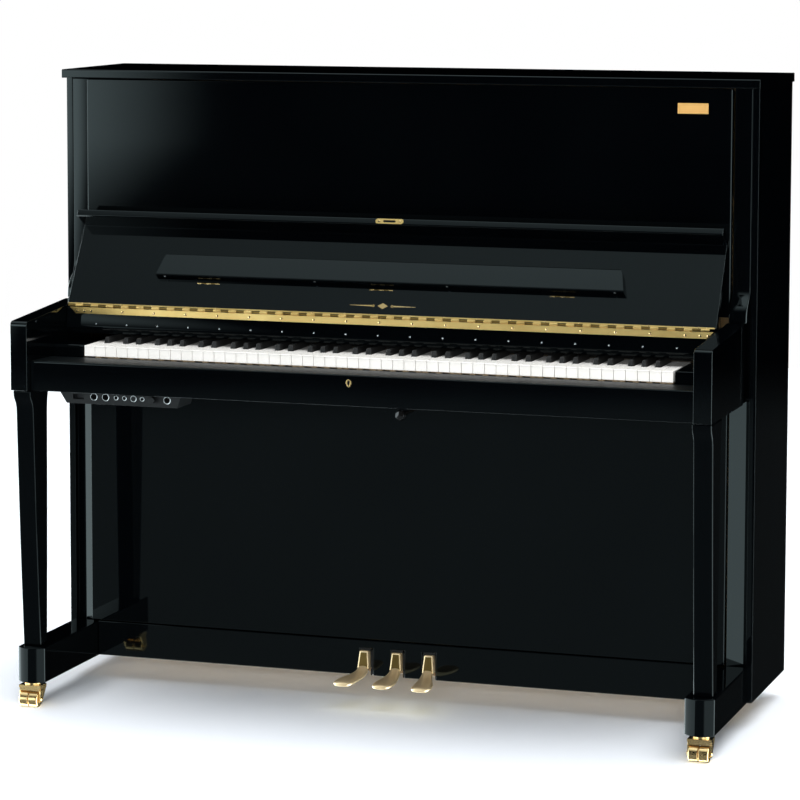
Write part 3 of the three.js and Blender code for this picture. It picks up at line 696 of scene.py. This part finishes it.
# ---------------------------------------------------------------- pedals and casters
PEDAL_PITCH = 70.2
PEDAL_CENTRE = -1.5
PEDAL_LEAN = 13.0
PEDAL_SECTIONS = [  # y, top, bottom, half width, share of the sideways lean
    (-12, 78, 60, 10.8, 0.0),
    (-20, 75, 57, 11.2, 0.0),
    (-30, 69, 54.5, 12.0, 0.05),
    (-42, 65, 52.8, 14.4, 0.2),
    (-56, 63, 51.6, 16.8, 0.42),
    (-72, 62.4, 50.8, 19.4, 0.68),
    (-88, 62.2, 50.4, 20.8, 0.88),
    (-104, 62, 50.2, 20.8, 1.0),
    (-115, 61.6, 50.2, 19.6, 1.0),
    (-122, 60.4, 50.8, 16.4, 1.0),
    (-124.4, 58.4, 52.4, 12.0, 1.0),
]
CROWNED_BAR = [  # across and up, as shares of the half width and half height
    (-1, 0.0), (-0.93, 0.62), (-0.62, 0.93), (0, 1.0), (0.62, 0.93), (0.93, 0.62),
    (1, 0.0), (0.93, -0.7), (0.6, -1.0), (0, -1.0), (-0.6, -1.0), (-0.93, -0.7),
]


def pedal_pad(x, lean):
    """The foot of a pedal: a crowned bar that widens into a rounded pad."""
    bm = bmesh.new()
    outlines = []
    for y, top, bottom, half, share in PEDAL_SECTIONS:
        centre = x + lean * share
        middle = (top + bottom) / 2
        outlines.append([(centre + half * a, y, middle + (top - bottom) / 2 * b) for a, b in CROWNED_BAR])
    add_loft(bm, outlines)
    return bm


def pedal_stem(x):
    """The upright part, narrower and set back at the top."""
    bm = bmesh.new()
    outlines = []
    for half, front, z in ((12.6, -21.5, 68), (9.0, -16.5, 104.4)):
        outlines.append([(x - half, front, z), (x + half, front, z), (x + half, 0, z), (x - half, 0, z)])
    add_loft(bm, outlines)
    return bm


def pedal_stem_face(x):
    """The shaded panel inside the stem's bright frame."""
    bm = bmesh.new()
    corners = [(x - 9.4, -21.6, 71.5), (x + 9.4, -21.6, 71.5),
               (x + 6.4, -17.6, 101.4), (x - 6.4, -17.6, 101.4)]
    add_loft(bm, [corners, [(px, py + 2.5, pz) for px, py, pz in corners]])
    return bm


def pedal_guide(x):
    """Felt round the opening in the bottom rail."""
    bm = bmesh.new()
    lo, hi = cad_box("bottom_rail")
    top, head, outer, inner = 109.4, 104.0, 15.2, 12.9
    foot = lo[2] + 0.5
    strips = ((-outer, -inner, foot), (inner, outer, foot), (-outer, outer, head))
    for left, right, z0 in strips:
        add_box(bm, x + left, x + right, lo[1] + 0.6, hi[1] - 2, z0, top)
    return bm


def pedals():
    """Each pedal has a tapered stem with a bright frame, and a crowned pad that leans outward."""
    for node, index in (("soft_pedal", -1), ("muffler_pedal", 0), ("sustain_pedal", 1)):
        hi = cad_box(node)[1]
        x = index * PEDAL_PITCH + PEDAL_CENTRE
        pad = pedal_pad(x, index * PEDAL_LEAN)
        piece = make(node + "_pad", pad, PEDAL_BRASS, node, replaces=node)
        smooth = piece.modifiers.new("rounded", "SUBSURF")
        smooth.levels = smooth.render_levels = 2
        make(node + "_stem", pedal_stem(x), PEDAL_BRASS, node, 1.6, 2)
        make(node + "_stem_face", pedal_stem_face(x), STEM_SHADE, node, 0.4, 1)
        lever = bmesh.new()
        add_box(lever, x - 8, x + 8, -2, hi[1], hi[2] - 15, hi[2] - 1)
        make(node + "_lever", lever, STEEL, node, 1.0, 2)
        make(node + "_guide", pedal_guide(x), BLACK_FELT, "case")


def casters():
    for side in ("left", "right"):
        refine(f"front_{side}_caster_fork", BRASS, 0.7, 2)
        refine(f"front_{side}_caster_wheel", BRASS, 0.8, 2)
        refine(f"rear_{side}_caster_wheel", STEEL, 0.8, 2)
        domes = bmesh.new()
        lo, hi = cad_box(f"front_{side}_caster_fork")
        wheel_lo, wheel_hi = cad_box(f"front_{side}_caster_wheel")
        y, z = (wheel_lo[1] + wheel_hi[1]) / 2, (wheel_lo[2] + wheel_hi[2]) / 2
        for x, direction in ((lo[0] + 0.4, -1), (hi[0] - 0.4, 1)):
            add_disc(domes, Vector((x, y, z)), Vector((direction, 0, 0)), 4.2, 1.6, 20, 1.0)
        make(f"front_{side}_axle_domes", domes, BRASS, f"front_{side}_caster_fork")


# ---------------------------------------------------------------- control box and knobs
JACK_Z = 649
RIM, RIM_DEPTH, CHAMFER = 1.3, 1.2, 0.4
BIG_JACKS, SMALL_JACKS, KNOB_X = (-560, -534, -400), (-511, -493, -454), -473


def add_rim(bm, x, y, outer):
    """A chamfered ring round a socket."""
    inner = outer - RIM
    profile = [(inner, y), (outer - CHAMFER, y), (outer, y + CHAMFER), (outer, y + RIM_DEPTH),
               (inner, y + RIM_DEPTH), (inner, y)]
    add_lathe(bm, Y_AXIS, profile, (x, 0, JACK_Z), 32)


def control_box():
    refine("control_box", PLASTIC, 0.8, 2)
    face = cad_box("control_box")[0][1]
    rims = bmesh.new()
    floors = bmesh.new()
    for places, rim, bore in ((BIG_JACKS, 7.8, 6.4), (SMALL_JACKS, 4.9, 3.5)):
        for x in places:
            add_rim(rims, x, face - 0.9, rim)
            # Near-black discs of painted shade at the bottoms of the socket bores.
            add_bar(floors, Y_AXIS, bore, face + 9, face + 11.6, (x, 0, JACK_Z), 24)
    add_rim(rims, KNOB_X, face - 0.9, 6.6)
    make("socket_rims", rims, SILVER, "case")
    make("socket_floor_shade", floors, HOLE_SHADE, "case")
    refine("volume_knob", PLASTIC, 0.6, 2)
    refine("power_button", PLASTIC, 0.5, 2)
    refine("mute_knob", KNOB_BLACK, 0.8, 3)


# ---------------------------------------------------------------- back and inside
def back():
    refine("back_frame", TIMBER, 2.5, 2)
    refine("soundboard", SPRUCE, 1.0, 1)
    refine("bottom_board", TIMBER_X, 1.2, 1)
    refine("iron_plate", PLATE, 2.5, 2)
    refine("action_frame", TIMBER_X, 1.0, 1)
    refine("hammer_rest_rail", TIMBER_X, 1.0, 1)
    refine("damper_lift_rail", TIMBER_X, 1.0, 1)
    refine("muffler_rail", FELT, 1.0, 1)


def strings():
    """One wound string for each low note and a pair of plain ones for each of the rest."""
    lo, hi = cad_box("strings")
    y = (lo[1] + hi[1]) / 2
    notes, wound_notes, margin = 88, 28, 12
    plain = bmesh.new()
    wound = bmesh.new()
    for note in range(notes):
        x = lo[0] + margin + note * (hi[0] - lo[0] - 2 * margin) / (notes - 1)
        if note < wound_notes:
            add_bar(wound, Z_AXIS, 1.1, lo[2], hi[2], (x, y, 0), 6)
            continue
        for offset in (-2.2, 2.2):
            add_bar(plain, Z_AXIS, 0.55, lo[2], hi[2], (x + offset, y, 0), 6)
    make("wound_strings", wound, COPPER, "case", replaces="strings")
    make("plain_strings", plain, STEEL, "case")


# ---------------------------------------------------------------- stage, light and camera
def stage():
    mesh = bpy.data.meshes.new("floor")
    size = 5.5
    corners = [(-size, -size, 0), (size, -size, 0), (size, size, 0), (-size, size, 0)]
    mesh.from_pydata(corners, [], [(0, 1, 2, 3)])
    floor = bpy.data.objects.new("floor", mesh)
    bpy.context.scene.collection.objects.link(floor)
    mesh.materials.append(surface("pale_floor", (0.77, 0.81, 0.865), (0.80, 0.84, 0.895), (0.5, 0.6),
                                  2.0, 60.0, 0.02, 0.0002, specular=0.2))
    floor.visible_glossy = False


def area_light(name, location, target, size, power):
    """A soft box that lights matt surfaces but isn't seen in polished ones."""
    data = bpy.data.lights.new(name, "AREA")
    data.shape = "RECTANGLE"
    data.size, data.size_y = size
    data.energy = power
    light = bpy.data.objects.new(name, data)
    light.location = location
    light.rotation_mode = "QUATERNION"
    light.rotation_quaternion = (Vector(target) - Vector(location)).to_track_quat("-Z", "Y")
    light.visible_glossy = False
    bpy.context.scene.collection.objects.link(light)


def sky_light(name, strength, spread_degrees, lean):
    """A broad light from overhead that falls evenly on the whole floor; lean tips it off the vertical."""
    data = bpy.data.lights.new(name, "SUN")
    data.energy = strength
    data.angle = math.radians(spread_degrees)
    light = bpy.data.objects.new(name, data)
    light.rotation_euler = (*lean, 0)
    light.visible_glossy = False
    bpy.context.scene.collection.objects.link(light)


LEFT_GLOW, RIGHT_GLOW, FLANK_GLOW = 3.6, 2.4, 5.0
CEILING_GLOW, FLOOR_GLOW, BACK_FLOOR = 1.75, 0.26, 0.06
LEFT_EDGE, LEFT_EDGE_LOW, LEFT_EDGE_SLOPE, LEFT_EDGE_WIDTH = 21.2, 17.3, -1.1, 3.4


def studio_reflections(tree):
    """What polished surfaces see: bright sides, a dark gap ahead, a soft ceiling and a pale floor.

    Azimuth is in degrees from the front, positive to the left; elevation is in degrees."""
    coords = tree.nodes.new("ShaderNodeTexCoord")
    split = tree.nodes.new("ShaderNodeSeparateXYZ")
    tree.links.new(coords.outputs["Generated"], split.inputs["Vector"])
    degrees = 180 / math.pi
    leftward = math_node(tree, "MULTIPLY", split.outputs["X"], -1.0)
    forward = math_node(tree, "MULTIPLY", split.outputs["Y"], -1.0)
    azimuth = math_node(tree, "MULTIPLY", math_node(tree, "ARCTAN2", leftward, forward), degrees)
    elevation = math_node(tree, "MULTIPLY", math_node(tree, "ARCSINE", split.outputs["Z"]), degrees)
    around = math_node(tree, "ABSOLUTE", azimuth)

    sloped = math_node(tree, "ADD", math_node(tree, "MULTIPLY", elevation, LEFT_EDGE_SLOPE), LEFT_EDGE_LOW)
    edge = math_node(tree, "MAXIMUM", sloped, LEFT_EDGE)
    full = math_node(tree, "ADD", edge, LEFT_EDGE_WIDTH)
    left = math_node(tree, "MULTIPLY", step(tree, azimuth, edge, full), LEFT_GLOW)
    right = math_node(tree, "MULTIPLY", step(tree, azimuth, -20.0, -31.0), RIGHT_GLOW)
    flank = math_node(tree, "MULTIPLY", step(tree, around, 82.0, 96.0), FLANK_GLOW)
    sides = math_node(tree, "ADD", math_node(tree, "ADD", left, right), flank)
    sides = math_node(tree, "MULTIPLY", sides, step(tree, around, 128.0, 146.0, 1.0, 0.0))
    sides = math_node(tree, "MULTIPLY", sides, step(tree, elevation, 14.0, 27.0, 1.0, 0.0))

    ceiling = math_node(tree, "MULTIPLY", step(tree, elevation, 32.0, 78.0), CEILING_GLOW)
    below = step(tree, elevation, -7.2, -8.6)
    ahead = step(tree, around, 120.0, 80.0, BACK_FLOOR, 1.0)
    ground = math_node(tree, "MULTIPLY", math_node(tree, "MULTIPLY", below, ahead), FLOOR_GLOW)
    return math_node(tree, "ADD", math_node(tree, "ADD", sides, ceiling), ground)


def background(tree, colour, strength):
    """A world background whose strength is a number or a socket."""
    node = tree.nodes.new("ShaderNodeBackground")
    node.inputs["Color"].default_value = (*colour, 1)
    if isinstance(strength, (int, float)):
        node.inputs["Strength"].default_value = strength
    else:
        tree.links.new(strength, node.inputs["Strength"])
    return node.outputs["Background"]


def choose(tree, factor, otherwise, chosen):
    """A mix of two backgrounds by a ray's kind."""
    node = tree.nodes.new("ShaderNodeMixShader")
    tree.links.new(factor, node.inputs["Fac"])
    tree.links.new(otherwise, node.inputs[1])
    tree.links.new(chosen, node.inputs[2])
    return node.outputs["Shader"]


def studio():
    """White to the camera, dim to matt surfaces, and a lit room to polished ones."""
    world = bpy.data.worlds.new("studio")
    bpy.context.scene.world = world
    world.use_nodes = True
    tree = world.node_tree
    tree.nodes.clear()
    out = tree.nodes.new("ShaderNodeOutputWorld")
    shine = background(tree, (0.86, 1.0, 1.04), studio_reflections(tree))
    ambient = background(tree, (1, 1, 1), 0.12)
    pale = background(tree, (1, 1, 1), 1.0)
    path = tree.nodes.new("ShaderNodeLightPath")
    seen = choose(tree, path.outputs["Is Camera Ray"], ambient, pale)
    tree.links.new(choose(tree, path.outputs["Is Glossy Ray"], seen, shine), out.inputs["Surface"])
    sky_light("ceiling_light", 5.2, 75.0, (-0.06, 0.10))
    area_light("front_softbox", (1.4, -5.8, 1.3), (0.0, 0.0, 0.8), (2.4, 1.4), 330)
    bpy.context.scene.view_settings.view_transform = "Standard"


CAMERA_PLACE = (2.1075, -6.4654, 1.592)
CAMERA_YAW = 19.26
CAMERA_PITCH = 5.99
CAMERA_LENS = 150.27
CAMERA_SHIFT = (0.0875, -0.15)


def camera():
    data = bpy.data.cameras.new("camera")
    data.sensor_width = 36.0
    data.lens = CAMERA_LENS
    data.shift_x, data.shift_y = CAMERA_SHIFT
    data.clip_end = 200
    view = bpy.data.objects.new("camera", data)
    view.location = CAMERA_PLACE
    view.rotation_euler = (math.radians(90 - CAMERA_PITCH), 0, math.radians(CAMERA_YAW))
    bpy.context.scene.collection.objects.link(view)
    bpy.context.scene.camera = view


stage()
studio()
camera()
plain_case()
keyboard()
fallboard_hinge()
nameboard_trim()
lock_strike()
keyhole()
nameplate()
inlay()
desk_hardware()
pedals()
casters()
control_box()
back()
strings()
